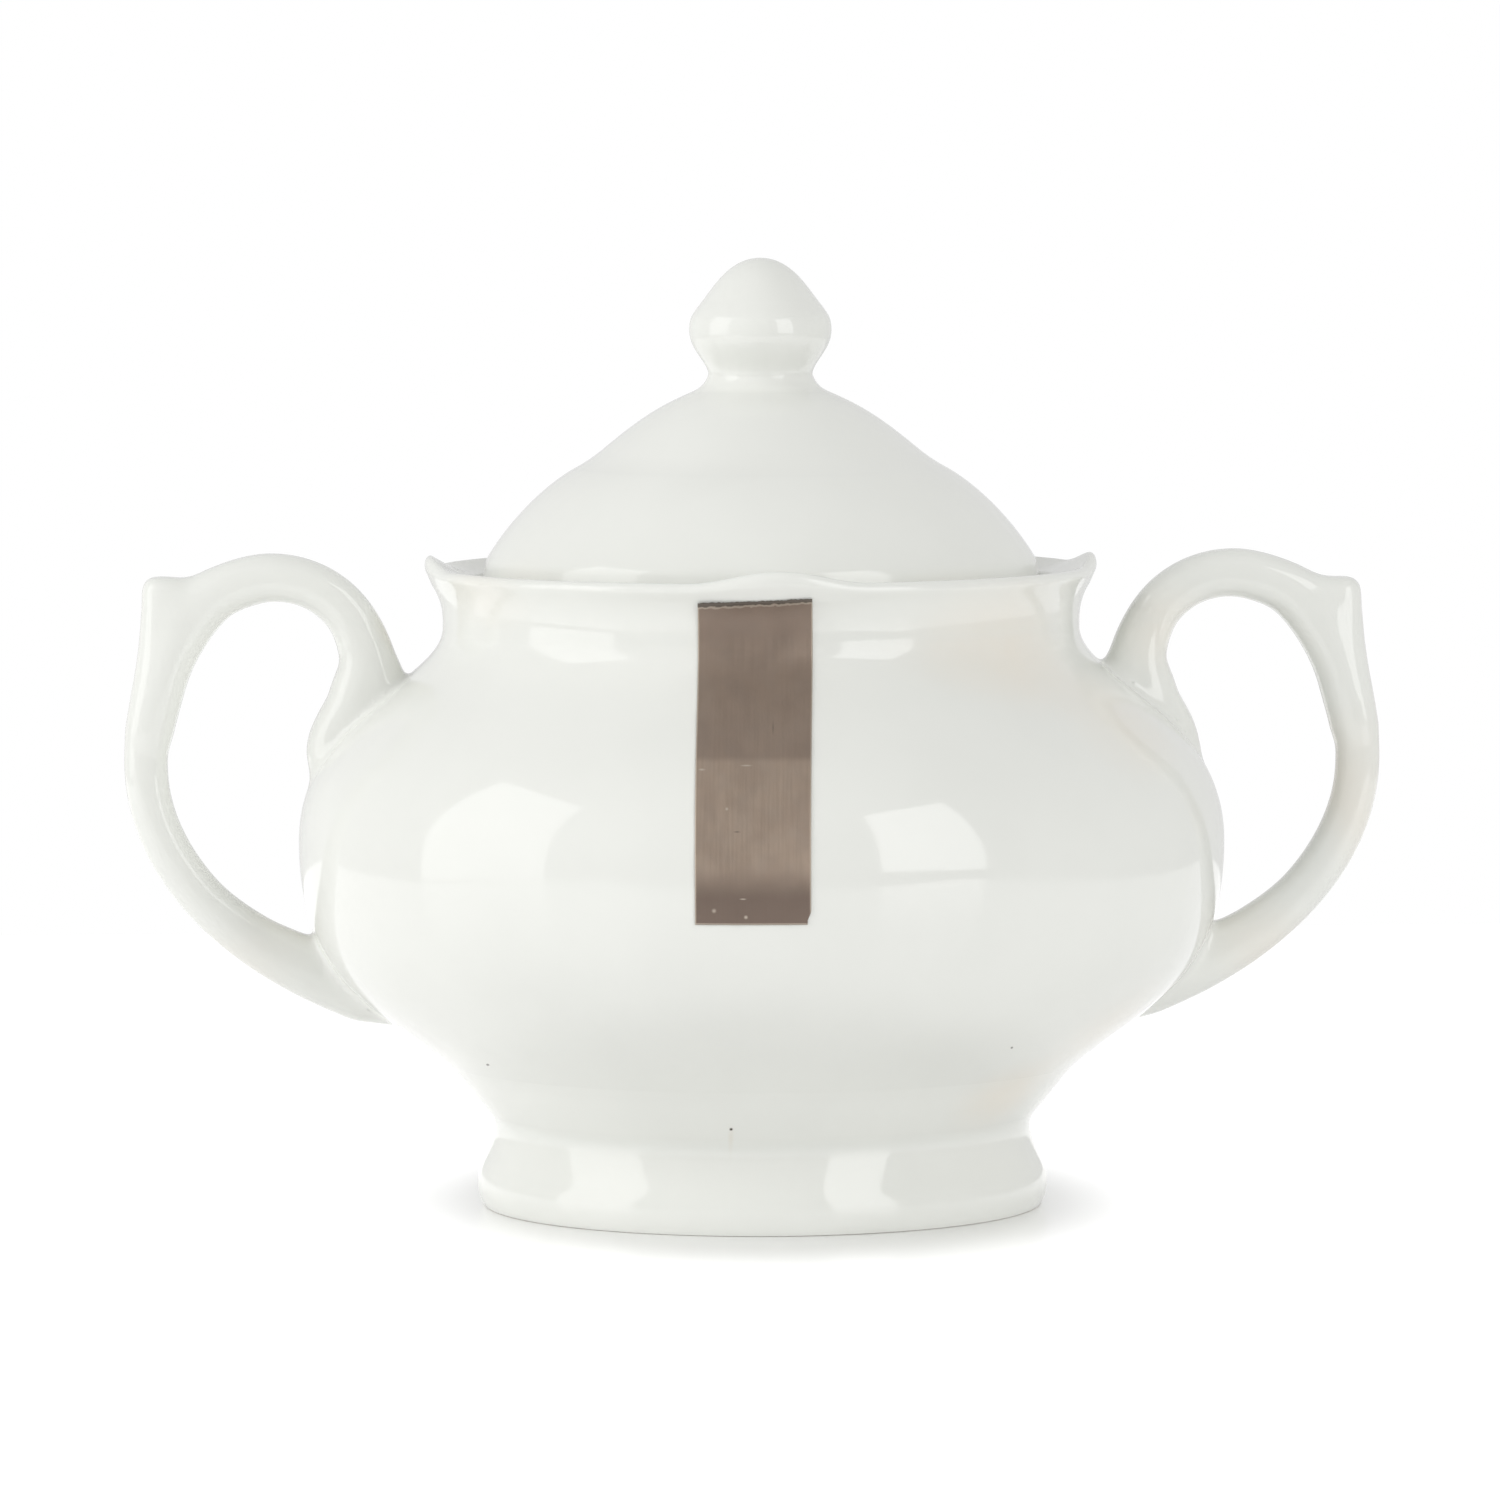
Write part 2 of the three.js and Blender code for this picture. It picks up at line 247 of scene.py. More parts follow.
def arc(centre, radius, start, end, steps=14):
    angles = np.radians(np.linspace(start, end, steps + 1))
    return np.column_stack([centre[0] + radius * np.cos(angles), centre[1] + radius * np.sin(angles)])


def joined(*lines):
    """Lines put end to end, without the points that they share."""
    points = np.vstack(lines)
    apart = np.linalg.norm(np.diff(points, axis=0), axis=1) > 1e-6
    return points[np.r_[True, apart]]


def lengths_along(line):
    return np.r_[0, np.cumsum(np.linalg.norm(np.diff(line, axis=0), axis=1))]


def point_along(line, distance):
    along = lengths_along(line)
    return np.array([np.interp(distance, along, line[:, axis]) for axis in range(line.shape[1])])


def softened(line, corner, reach, steps=8):
    """The line with the corner nearest to a point rounded off, over a reach on both sides of it."""
    index = np.argmin(np.linalg.norm(line - corner, axis=1))
    along = lengths_along(line)
    low, high = along[index] - reach, along[index] + reach
    t = np.linspace(0, 1, steps + 1)[:, None]
    before, after = point_along(line, low), point_along(line, high)
    bend = (1 - t) ** 2 * before + 2 * t * (1 - t) * line[index] + t**2 * after
    return np.vstack([line[along < low], bend, line[along > high]])


def all_softened(line, corners):
    """The line with each listed corner rounded off over its own reach, one after the other."""
    for corner, reach in corners:
        line = softened(line, corner, reach)
    return line


def offset(line, distance):
    """A line that runs upwards, moved outwards, or inwards by a negative distance."""
    along = np.gradient(line, axis=0)
    along /= np.linalg.norm(along, axis=1)[:, None]
    return line + distance * np.column_stack([along[:, 1], -along[:, 0]])


def between(line, low, high):
    """The part of a rising line between two heights."""
    inside = line[(line[:, 1] > low) & (line[:, 1] < high)]
    ends = [[np.interp(height, line[:, 1], line[:, 0]), height] for height in (low, high)]
    return np.vstack([ends[:1], inside, ends[1:]])


# Meshes

def new_piece(name, points, faces, material, body, node):
    """A smooth-shaded piece from points in millimetres, which stands for a CAD node."""
    mesh = bpy.data.meshes.new(name)
    mesh.from_pydata((np.asarray(points) * MM).tolist(), [], faces)
    mesh.validate()
    mesh.shade_smooth()
    mesh.materials.append(material)
    piece = bpy.data.objects.new(name, mesh)
    bpy.context.scene.collection.objects.link(piece)
    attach(piece, body)
    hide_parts(node)
    return piece


def lathe(outline, closed=False, sides=TURN_STEPS):
    """Points and faces of an outline turned about Z. An open outline starts and ends on the axis."""
    angles = 2 * math.pi * np.arange(sides) / sides
    points, rings = [], []
    for radius, height in outline:
        first = len(points)
        if radius < 1e-6:
            points.append((0, 0, height))
            rings.append([first] * sides)
            continue
        points.extend((radius * math.sin(a), -radius * math.cos(a), height) for a in angles)
        rings.append(list(range(first, first + sides)))
    faces = []
    pairs = list(zip(rings, rings[1:] + rings[:1])) if closed else list(zip(rings, rings[1:]))
    for lower, upper in pairs:
        for side in range(sides):
            after = (side + 1) % sides
            corners = [lower[side], lower[after], upper[after], upper[side]]
            faces.append(list(dict.fromkeys(corners)))
    return np.array(points, float), faces


# The bowl's outlines

def belly_outline():
    """Outside of the belly and collar, from the foot up to where the lip's round edge begins."""
    seat = (BELLY_SEAT_RADIUS, FOOT_HEIGHT)
    widest = (belly_radius, BELLY_HEIGHT)
    neck = (NECK_RADIUS, NECK_HEIGHT)
    lip_start = arc(lip_centre(), LIP_THICKNESS / 2, LIP_FLARE, 0)[0]
    line = joined(
        bezier(seat, widest, BELLY_LOWER_PULLS, 2 * STRETCH_STEPS),
        bezier(widest, neck, BELLY_UPPER_PULLS, 2 * STRETCH_STEPS),
        bezier((NECK_RADIUS, COLLAR_FOOT), lip_start, COLLAR_PULLS),
    )
    return line


def lip_centre():
    return RIM_RADIUS - LIP_THICKNESS / 2, rim_height - LIP_THICKNESS / 2


def bowl_outline():
    """Whole outline of the bowl, from the middle underneath, round the lip and ledge, to its floor."""
    outside = belly_outline()
    bottom = FOOT_HEIGHT - BOTTOM_DROP
    inner_wall = offset(between(outside, FOOT_HEIGHT, NECK_HEIGHT), -BOWL_WALL)[::-1]
    bottom_edge = (BELLY_SEAT_RADIUS - BOTTOM_INSET, bottom)
    dish = (collar_inner + DISH_LEAN, rim_height - DISH_DEPTH)
    ledge = (collar_inner, ledge_height)
    throat = (throat_radius, ledge_height)
    throat_foot = (throat_radius, ledge_height - LEDGE_THICKNESS)
    line = joined(
        point(0, bottom),
        point(*bottom_edge),
        point(BELLY_SEAT_RADIUS - UNDER_INSET, FOOT_HEIGHT - UNDER_DROP),
        outside,
        arc(lip_centre(), LIP_THICKNESS / 2, LIP_FLARE, 120),
        point(*dish),
        point(*ledge),
        point(*throat),
        point(*throat_foot),
        inner_wall,
        bezier(inner_wall[-1], (0, bottom + BOWL_WALL), BOWL_FLOOR_PULLS),
    )
    return all_softened(line, (
        (bottom_edge, 1.5),
        (dish, 0.5),
        (ledge, 0.5),
        (throat, 0.7),
        (throat_foot, 0.8),
        (inner_wall[0], 1.2),
    ))


def raise_peaks(points):
    """Lifts the lip into its low peaks, spaced evenly from the front, and draws the collar in a
    little between them."""
    points = points.copy()
    radius = np.hypot(points[:, 0], points[:, 1])
    turn = np.degrees(np.arctan2(points[:, 0], -points[:, 1]))
    spacing = 360 / PEAK_COUNT
    away = np.abs(turn - spacing * np.round(turn / spacing)) / (PEAK_SPAN / 2)
    crest = np.where(away < 1, (1 + np.cos(np.pi * away)) / 2, 0)
    up = np.clip((points[:, 2] - rim_height) / PEAK_REACH + 1, 0, 1)
    out = np.clip((radius - collar_inner) / DISH_REACH, 0, 1)
    high = np.clip((points[:, 2] - COLLAR_FOOT) / (rim_height - COLLAR_FOOT), 0, 1)
    points[:, :2] *= (1 - FLARE_LOSS * (1 - crest) * high**2 * out / np.maximum(radius, 1))[:, None]
    points[:, 2] += RIM_PEAK_RISE * crest * up * out
    return points


def build_bowl(material):
    points, faces = lathe(bowl_outline())
    return new_piece("bowl_glazed", raise_peaks(points), faces, material, "bowl", "bowl_body")


def build_foot(material, bare):
    """Flared foot with a soft crease to the belly. Its bare ring is the part below the glaze line."""
    bulge = (FOOT_RADIUS, FOOT_BULGE_HEIGHT)
    waist = (WAIST_RADIUS, WAIST_HEIGHT)
    crease = (BELLY_SEAT_RADIUS, FOOT_HEIGHT)
    belly = belly_outline()
    lap = between(belly, FOOT_HEIGHT + 1e-3, FOOT_HEIGHT + LAP_RISE)
    ring_outer = FOOT_RADIUS - FOOT_EDGE
    ring_inner = ring_outer - RING_WIDTH
    inner_waist = (WAIST_RADIUS - FOOT_WALL, WAIST_HEIGHT)
    line = joined(
        point(ring_inner, 0),
        bezier((ring_outer, 0), bulge, FOOT_BULGE_PULLS, 16),
        bezier(bulge, waist, FOOT_WAIST_PULLS),
        np.linspace(waist, crease, 12),
        offset(lap, -LAP_SINK * (lap[:, 1:] - FOOT_HEIGHT) / LAP_RISE),
        lap[-1:] + (LAP_TUCK[0] - LAP_SINK, LAP_TUCK[1]),
        point(BELLY_SEAT_RADIUS - FOOT_SEAT_INSET, FOOT_HEIGHT - FOOT_WALL),
        point(*inner_waist),
        point(ring_inner - FOOT_EDGE / 2, FOOT_EDGE / 2),
    )
    line = all_softened(line, ((waist, 1.6), (crease, 2.2), (inner_waist, 1.5)))
    points, faces = lathe(line, closed=True)
    piece = new_piece("foot_glazed", points, faces, material, "bowl", "pedestal_foot")
    piece.data.materials.append(bare)
    for polygon in piece.data.polygons:
        if polygon.center.z < GLAZE_LINE * MM:
            polygon.material_index = 1
    return piece


# The lid

def crown_outline():
    """Outside of the dome, from its edge with a low steep band up to the knob's base."""
    rise = lid_top - lid_base
    step = (lid_radius * LID_STEP_RADIUS_SHARE, lid_base + rise * LID_STEP_RISE_SHARE)
    edge = (lid_radius, lid_base + LID_EDGE_RISE)
    skirt = bezier(step, edge, LID_SKIRT_PULLS, 2 * STRETCH_STEPS)[::-1]
    skirt = between(skirt, lid_base + LID_BAND_RISE, step[1])
    crown = bezier((KNOB_BASE_RADIUS, lid_top), step, LID_CROWN_PULLS)[::-1]
    foot = point(lid_edge_radius, lid_base + LID_EDGE_RISE)
    line = softened(joined(foot, skirt, crown), step, LID_STEP_SOFTNESS, 12)
    return softened(line, skirt[0], LID_BAND_SOFTNESS, 12)


def build_lid(material):
    """Dome with its locating flange, lathed from the middle of its inside round to its top."""
    outside = crown_outline()
    inside = offset(outside, -LID_WALL)
    inside = inside[(inside[:, 0] < flange_inner) & (inside[:, 0] > 1)][::-1]
    flange_inside = (flange_inner, flange_foot)
    flange_outside = (flange_radius, flange_foot)
    seat = (flange_radius, lid_base)
    under_edge = (lid_edge_radius - LID_EDGE_LEAN, lid_base)
    line = joined(
        point(0, lid_top - LID_WALL),
        inside,
        point(flange_inner, lid_base + LID_WALL),
        point(*flange_inside),
        point(*flange_outside),
        point(*seat),
        point(*under_edge),
        outside,
        point(0, lid_top),
    )
    line = all_softened(line, (
        (flange_inside, FLANGE_ROUNDING),
        (flange_outside, FLANGE_ROUNDING),
        (seat, 0.5),
        (under_edge, LID_EDGE_INSET),
        (outside[0], 0.35),
    ))
    points, faces = lathe(line)
    return new_piece("lid_glazed", points, faces, material, "lid", "lid_shell")


def build_knob(material):
    """Ball knob that flows into the crown with a soft fillet."""
    rise = knob_top - knob_base
    neck = (KNOB_NECK_RADIUS, knob_base + rise * KNOB_NECK_RISE_SHARE)
    widest = (knob_radius, knob_base + rise * KNOB_WIDEST_RISE_SHARE)
    shoulder_radius = knob_radius * KNOB_SHOULDER_RADIUS_SHARE
    shoulder = (shoulder_radius, knob_base + rise * KNOB_SHOULDER_RISE_SHARE)
    crown = crown_outline()
    skirt = crown[crown[:, 0] < KNOB_SKIRT_RADIUS]
    side = joined(
        bezier(neck, widest, KNOB_UNDER_PULLS),
        bezier(widest, shoulder, KNOB_SIDE_PULLS, 10),
        bezier(shoulder, (0, knob_top), KNOB_TOP_PULLS),
    )
    line = joined(point(0, lid_top - 1), skirt[:1] - (0, KNOB_SINK), skirt, side)
    line = all_softened(line, ((skirt[-1], KNOB_FILLET), (shoulder, KNOB_SHOULDER_SOFTNESS)))
    points, faces = lathe(line, sides=TURN_STEPS // 2)
    return new_piece("knob_glazed", points, faces, material, "lid", "lid_knob")


# The handles

def spline(stations, per_station=STATION_STEPS):
    """Centripetal Catmull-Rom curve through the stations, as in the CAD."""
    stations = np.asarray(stations, float)
    ends = (2 * stations[0] - stations[1], 2 * stations[-1] - stations[-2])
    line = np.vstack([ends[0], stations, ends[1]])
    gaps = np.maximum(np.linalg.norm(np.diff(line, axis=0), axis=1) ** 0.5, 1e-4)
    pieces = []
    t = np.linspace(0, 1, per_station, endpoint=False)[:, None]
    for i in range(1, len(line) - 2):
        before, gap, after = gaps[i - 1], gaps[i], gaps[i + 1]
        into = (line[i] - line[i - 1]) / before - (line[i + 1] - line[i - 1]) / (before + gap)
        into = (into + (line[i + 1] - line[i]) / gap) * gap
        out = (line[i + 1] - line[i]) / gap - (line[i + 2] - line[i]) / (gap + after)
        out = (out + (line[i + 2] - line[i + 1]) / after) * gap
        third = -3 * line[i] + 3 * line[i + 1] - 2 * into - out
        fourth = 2 * line[i] - 2 * line[i + 1] + into + out
        pieces.append(line[i] + into * t + third * t**2 + fourth * t**3)
    return np.vstack([*pieces, line[-2:-1]])


def rod(stations, aside):
    """Middle line of a handle's rod in the XZ plane with its half thickness and half width."""
    x, z, thickness, width = np.array(stations, float).T
    middle = spline(np.column_stack([
        belly_radius + aside + HANDLE_REACH * x,
        FOOT_HEIGHT + (rim_height - FOOT_HEIGHT) * z,
    ]))
    sizes = spline(np.column_stack([HANDLE_THICKNESS * thickness, HANDLE_WIDTH * width])) / 2
    return middle, sizes


def distance_to_segment(points, middle, sizes, first):
    """Signed distance to a rod's segments, which are ellipses with flattened sides across."""
    along = middle[first + 1] - middle[first]
    way = points[:, ::2] - middle[first]
    share = np.clip((way * along).sum(axis=1) / (along**2).sum(axis=1), 0, 1)[:, None]
    half = sizes[first] + share * (sizes[first + 1] - sizes[first])
    rest = way - share * along
    shares = np.column_stack([np.hypot(rest[:, 0], rest[:, 1]), np.abs(points[:, 1])]) / half
    size = np.maximum((shares**SECTION_POWER).sum(axis=1) ** (1 / SECTION_POWER), 1e-3)
    slopes = (shares / size[:, None]) ** (SECTION_POWER - 1) / half
    return (size - 1) / np.maximum(np.hypot(slopes[:, 0], slopes[:, 1]), 1e-3)


def distance_to_rod(points, rod_line):
    """Signed distance to a rod, from the nearest segments in each stretch between its stations."""
    middle, sizes = rod_line
    nearest = np.full(len(points), np.inf)
    for start in range(0, len(middle), STATION_STEPS):
        part = slice(start, start + STATION_STEPS)
        apart = np.hypot(points[:, :1] - middle[part, 0], points[:, 2:] - middle[part, 1])
        station = start + (apart - sizes[part, 0]).argmin(axis=1)
        for shift in (-1, 0):
            first = np.clip(station + shift, 0, len(middle) - 2)
            nearest = np.minimum(nearest, distance_to_segment(points, middle, sizes, first))
    return nearest


def distance_to_bowl(points, outline):
    """Signed distance to the bowl's outside, across its wall."""
    radius = np.hypot(points[:, 0], points[:, 1])
    along = np.gradient(outline, axis=0)
    upright = along[:, 1] / np.linalg.norm(along, axis=1)
    gap = radius - np.interp(points[:, 2], outline[:, 1], outline[:, 0])
    return gap * np.interp(points[:, 2], outline[:, 1], upright)


def blended(first, second, reach):
    """Union of two distances with a fillet of that reach."""
    near = np.maximum(reach - np.abs(first - second), 0) / reach
    return np.minimum(first, second) - near**2 * reach / 4


def handle_skin(points, loop, spur, top, outline):
    """Signed distances to a handle that flows on into the bowl, to its rods alone and to the bowl."""
    above = points[:, 2] - top - SPUR_SLOPE * (points[:, 0] - spur[0][-1, 0])
    thumb = -blended(-distance_to_rod(points, spur), -above, SPUR_ROUNDING)
    rods = blended(distance_to_rod(points, loop), thumb, SPUR_FILLET)
    bowl = distance_to_bowl(points, outline)
    return blended(rods, bowl + SKIN_LIFT, ROOT_FILLET), rods, bowl


def handle_field(points, *shape):
    """Signed distance to a handle with its fillets, cut off just inside the bowl's wall."""
    skin, rods, bowl = handle_skin(points, *shape)
    return np.maximum(np.maximum(skin, -bowl - ROOT_DEPTH), rods - ROOT_FILLET)


def grid_of(low, counts, cell):
    axes = [low[axis] + cell * np.arange(counts[axis]) for axis in range(3)]
    return np.stack(np.meshgrid(*axes, indexing="ij"), axis=-1)


def sampled(field, low, blocks, cell):
    """Places of a grid and a field's values there, which away from its zero are one for a block."""
    grid = grid_of(low, blocks * BLOCK, cell)
    middles = grid_of(low + cell * (BLOCK - 1) / 2, blocks, cell * BLOCK)
    coarse = field(middles.reshape(-1, 3)).reshape(blocks)
    values = coarse.repeat(BLOCK, 0).repeat(BLOCK, 1).repeat(BLOCK, 2)
    near = np.abs(values) < cell * BLOCK
    values[near] = field(grid[near])
    return grid, values


def cell_faces(edges, numbers):
    """Faces round the edges of the grid that a surface crosses, each facing out."""
    faces = []
    for axis, crossed, starts_inside in edges:
        first, second = np.eye(3, dtype=int)[(axis + 1) % 3], np.eye(3, dtype=int)[(axis + 2) % 3]
        places = np.argwhere(crossed)
        around = [places - first - second, places - second, places, places - first]
        corners = np.column_stack([numbers[tuple(place.T)] for place in around])
        outward = starts_inside[crossed]
        faces += corners[outward].tolist() + corners[~outward][:, ::-1].tolist()
    return faces


def surface_of(field, low, high, cell):
    """Mesh of the places where a field is zero: a point in each cell that it crosses."""
    low, high = np.array(low), np.array(high)
    blocks = np.ceil((high - low) / (cell * BLOCK)).astype(int)
    counts = blocks * BLOCK
    grid, values = sampled(field, low, blocks, cell)
    inside = values < 0
    totals = np.zeros((*(counts - 1), 3))
    crossings = np.zeros(counts - 1)
    edges = []
    for axis in range(3):
        near = tuple(slice(None, -1) if a == axis else slice(None) for a in range(3))
        far = tuple(slice(1, None) if a == axis else slice(None) for a in range(3))
        crossed = inside[near] != inside[far]
        share = np.where(crossed, values[near] / np.where(crossed, values[near] - values[far], 1), 0)
        place = grid[near] + share[..., None] * cell * np.eye(3)[axis]
        edges.append((axis, crossed, inside[near]))
        others = [a for a in range(3) if a != axis]
        for shift in ((0, 0), (0, 1), (1, 0), (1, 1)):
            source = [slice(None)] * 3
            for other, step in zip(others, shift):
                source[other] = slice(step, counts[other] - 1 + step)
            totals += np.where(crossed[tuple(source)][..., None], place[tuple(source)], 0)
            crossings += crossed[tuple(source)]
    used = crossings > 0
    numbers = np.full(used.shape, -1)
    numbers[used] = np.arange(used.sum())
    return totals[used] / crossings[used][:, None], cell_faces(edges, numbers)


def slope_of(field, points, step=0.02):
    value = field(points)
    return value, np.column_stack([(field(points + step * way) - value) / step for way in np.eye(3)])


def settled(points, field, rounds=3):
    """Points moved onto the zero of a field along its slope."""
    for _ in range(rounds):
        value, slope = slope_of(field, points)
        size = np.maximum((slope**2).sum(axis=1), 0.05)
        points = points - np.clip(value / size, -0.3, 0.3)[:, None] * slope
    return points


def evened(points, faces, free, rounds=5):
    """Points drawn half way towards the middle of their neighbours, as far as they are free."""
    corners = np.array(faces)
    pairs = np.stack([corners, np.roll(corners, 1, axis=1)], axis=-1).reshape(-1, 2)
    counts = np.bincount(pairs[:, 0], minlength=len(points))[:, None]
    for _ in range(rounds):
        sums = [np.bincount(pairs[:, 0], points[pairs[:, 1], axis], len(points)) for axis in range(3)]
        points = points + 0.5 * free[:, None] * (np.column_stack(sums) / counts - points)
    return points


def handle_mesh(aside, lift):
    """Points, faces and normals of a handle at the right, with its fillets. The normals near the bowl
    are those of a handle that flows on into it, so no line shows where its skin ends."""
    loop, spur = rod(LOOP_STATIONS, aside), rod(SPUR_STATIONS, aside)
    shape = (loop, spur, spur_top + lift, belly_outline())
    margin = ROOT_FILLET + 2 * HANDLE_CELL
    middle = np.vstack([loop[0], spur[0]])
    thick = loop[1].max() + margin
    low = (middle[:, 0].min() - thick, -thick, middle[:, 1].min() - thick)
    high = (middle[:, 0].max() + thick, thick, middle[:, 1].max() + thick)

    def field(points):
        return handle_field(points, *shape)

    def skin(points):
        return handle_skin(points, *shape)[0]

    points, faces = surface_of(field, low, high, HANDLE_CELL)
    points = settled(points, field)
    bowl = handle_skin(points, *shape)[2]
    points = evened(points, faces, np.clip(bowl / HANDLE_CELL - 2, 0, 1))
    value, normals = slope_of(skin, points)
    normals /= np.linalg.norm(normals, axis=1)[:, None]
    normals[(np.abs(value) > 0.5) | (bowl > 2 * HANDLE_CELL)] = 0
    return points, faces, normals


def build_handles(material):
    for side, turn, lift in (("right", 1, -SPUR_LIFT), ("left", -1, SPUR_LIFT)):
        points, faces, normals = handle_mesh(-turn * HANDLES_ASIDE, lift)
        turned = (turn, turn, 1)
        name = f"handle_{side}_glazed"
        piece = new_piece(name, points * turned, faces, material, "bowl", f"{side}_handle")
        piece.data.normals_split_custom_set_from_vertices((normals * turned).tolist())


# The label

def label_plan(length):
    """Places across and up the strip before it is stuck on: tilted and torn along its top, with a
    nick at its lower right corner."""
    half = LABEL_WIDTH / 2
    steps_across, steps_up = LABEL_STEPS
    across, up = np.meshgrid(np.linspace(-half, half, steps_across), np.linspace(0, length, steps_up))
    torn = np.random.default_rng(5).normal(0, LABEL_TEAR, across.shape[1])
    near_top = np.clip(up / LABEL_NICK_RISE - length / LABEL_NICK_RISE + 1, 0, 1) ** 2
    near_foot = np.clip(1.5 - up / LABEL_NICK_RISE, 0, 1)
    up = up * (1 + LABEL_TILT * across / half / length) + torn * near_top
    across = np.where(across > 0, across * (1 - LABEL_NICK * near_foot / half), across)
    return across, up


def strip_faces(tall, wide):
    """Faces of a strip whose points are a back layer and then a front one: front, back and edge."""
    count = wide * tall
    number = np.arange(count).reshape(tall, wide)
    face = np.stack([number[:-1, :-1], number[:-1, 1:], number[1:, 1:], number[1:, :-1]], axis=-1)
    face = face.reshape(-1, 4)
    rim = np.r_[number[0, :], number[1:, -1], number[-1, -2::-1], number[-2:0:-1, 0]]
    after = np.roll(rim, -1)
    edge = np.column_stack([rim, after, after + count, rim + count])
    return np.vstack([face + count, face[:, ::-1], edge]).tolist()


def build_label(material):
    """Strip of foil that follows the bowl from below the lip down over the belly, and lies in faint
    ripples."""
    top = rim_height - LABEL_TOP_GAP
    under = between(belly_outline(), top - LABEL_DROP, top + LABEL_TOP_GAP / 2)
    along = lengths_along(under)
    out = offset(under, 1) - under
    across, up = label_plan(np.interp(top, under[:, 1], along))
    radius, height, out_radius, out_height = (
        np.interp(up, along, values) for values in (*under.T, *out.T)
    )
    ripple = np.sin(1.9 * across + 0.35 * up) * np.sin(0.23 * up + 0.8) + np.sin(0.9 * up - across)
    turn = math.radians(LABEL_TURN)
    layers = []
    for lift in (LABEL_LIFT, LABEL_LIFT + LABEL_THICKNESS):
        lifted = lift + LABEL_RIPPLE * (1 + ripple / 2)
        front = -np.sqrt((radius + lifted * out_radius) ** 2 - across**2)
        layers.append(np.stack([
            across * math.cos(turn) - front * math.sin(turn),
            across * math.sin(turn) + front * math.cos(turn),
            height + lifted * out_height,
        ], axis=-1).reshape(-1, 3))
    points = np.vstack(layers)
    faces = strip_faces(*across.shape)
    return new_piece("label_foil", points, faces, material, "bowl", "front_label")


# Colours of the glaze, the bare clay and the foil
GLAZE_PALE = (0.808, 0.816, 0.776, 1)
GLAZE_DEEP = (0.792, 0.8, 0.76, 1)
GLAZE_WARM = (0.81, 0.765, 0.68, 1)
# Painted shade for the creases at the foot's waist and under the collar
GLAZE_SHADE_IN_CREASES = (0.76, 0.775, 0.735, 1)
IRON = (0.05, 0.035, 0.025, 1)
IRON_RUN = (0.62, 0.52, 0.36, 1)
BISQUE_PALE = (0.76, 0.73, 0.68, 1)
BISQUE_DEEP = (0.68, 0.64, 0.58, 1)
BISQUE_GRAIN = (0.42, 0.36, 0.3, 1)
FOIL_PALE = (0.4, 0.31, 0.243, 1)
FOIL_DEEP = (0.353, 0.274, 0.211, 1)
FOIL_WORN = (0.35, 0.29, 0.24, 1)
# Dark of the foil's blotches, and of its painted shade
FOIL_BLOTCH_AND_SHADE = (0.17, 0.125, 0.1, 1)
FOIL_CUT = (0.55, 0.48, 0.4, 1)
FOIL_TORN = (0.1, 0.085, 0.07, 1)

# Where the glaze is tinted warm: middle, half sizes and strength, in millimetres
WARM_PLACES = (
    ((30, -30, 75), (29, 16, 12), 0.75),
    ((47, -28, 66), (14, 18, 11), 0.6),
    ((53, -6, 76), (9, 10, 8), 0.6),
    ((31, -27, 17), (12, 12, 8), 0.75),
    ((42, -24, 27), (12, 14, 11), 0.6),
    ((78, 0, 55), (6, 7, 17), 1.0),
    ((66, 0, 34), (11, 8, 8), 0.7),
    ((-66, 2, 34), (13, 8, 9), 0.8),
    ((-37, -21, 82), (13, 14, 7), 0.32),
    ((-47, 1, 77), (6, 8, 6), 1.2),
)
IRON_SPECKS = (
    ((-36.9, -25.3, 21.2), (0.3, 3, 0.27), 1.2),
    ((-6, -37.1, 13.9), (0.32, 3, 0.3), 1.3),
    ((30, -37.9, 24.3), (0.27, 3, 0.27), 1.1),
)
IRON_RUNS = (
    ((-6, -37.1, 11.6), (0.6, 3, 3.4), 0.32),
)

# Ripple of the glaze, and the creases along which painted shade darkens it: height, reach and strength
GLAZE_RIPPLE = 0.05
SHADED_CREASES = ((11.2, 1.6, 0.5), (77, 1.2, 0.15))

# Height above which painted shade darkens the foil, and marks on it, as places across it and up:
# pale scratches and dark scores
FOIL_SHADE_HEIGHT = 62.8
FOIL_SCRATCHES = (
    ((-0.9, 0, 62.1), (1.0, 1, 0.14), 0.9),
    ((-6.5, 0, 61.6), (0.6, 1, 0.18), 0.9),
    ((-3.3, 0, 56.9), (0.28, 1, 0.28), 0.9),
    ((-1.25, 0, 45.7), (0.6, 1, 0.14), 0.8),
    ((-0.9, 0, 43.4), (0.34, 1, 0.34), 0.9),
    ((-4.9, 0, 44.2), (0.4, 1, 0.4), 0.7),
)
FOIL_SCORES = (
    ((-2, 0, 54.1), (0.6, 1, 0.13), 0.7),
    ((2.4, 0, 66.5), (0.14, 1, 1.1), 0.5),
)


# Materials

def new_material(name):
    material = bpy.data.materials.new(name)
    material.use_nodes = True
    shader = material.node_tree.nodes["Principled BSDF"]
    return material, material.node_tree, shader


def feed(tree, socket, value):
    """Sets a socket to a number, place or colour, or links it to another node's socket."""
    if isinstance(value, bpy.types.NodeSocket):
        tree.links.new(value, socket)
    else:
        socket.default_value = value


def number_node(tree, operation, *values):
    node = tree.nodes.new("ShaderNodeMath")
    node.operation = operation
    for socket, value in zip(node.inputs, values):
        feed(tree, socket, value)
    return node.outputs["Value"]


def vector_node(tree, operation, *values, output="Vector"):
    node = tree.nodes.new("ShaderNodeVectorMath")
    node.operation = operation
    for socket, value in zip(node.inputs, values):
        feed(tree, socket, value)
    return node.outputs[output]


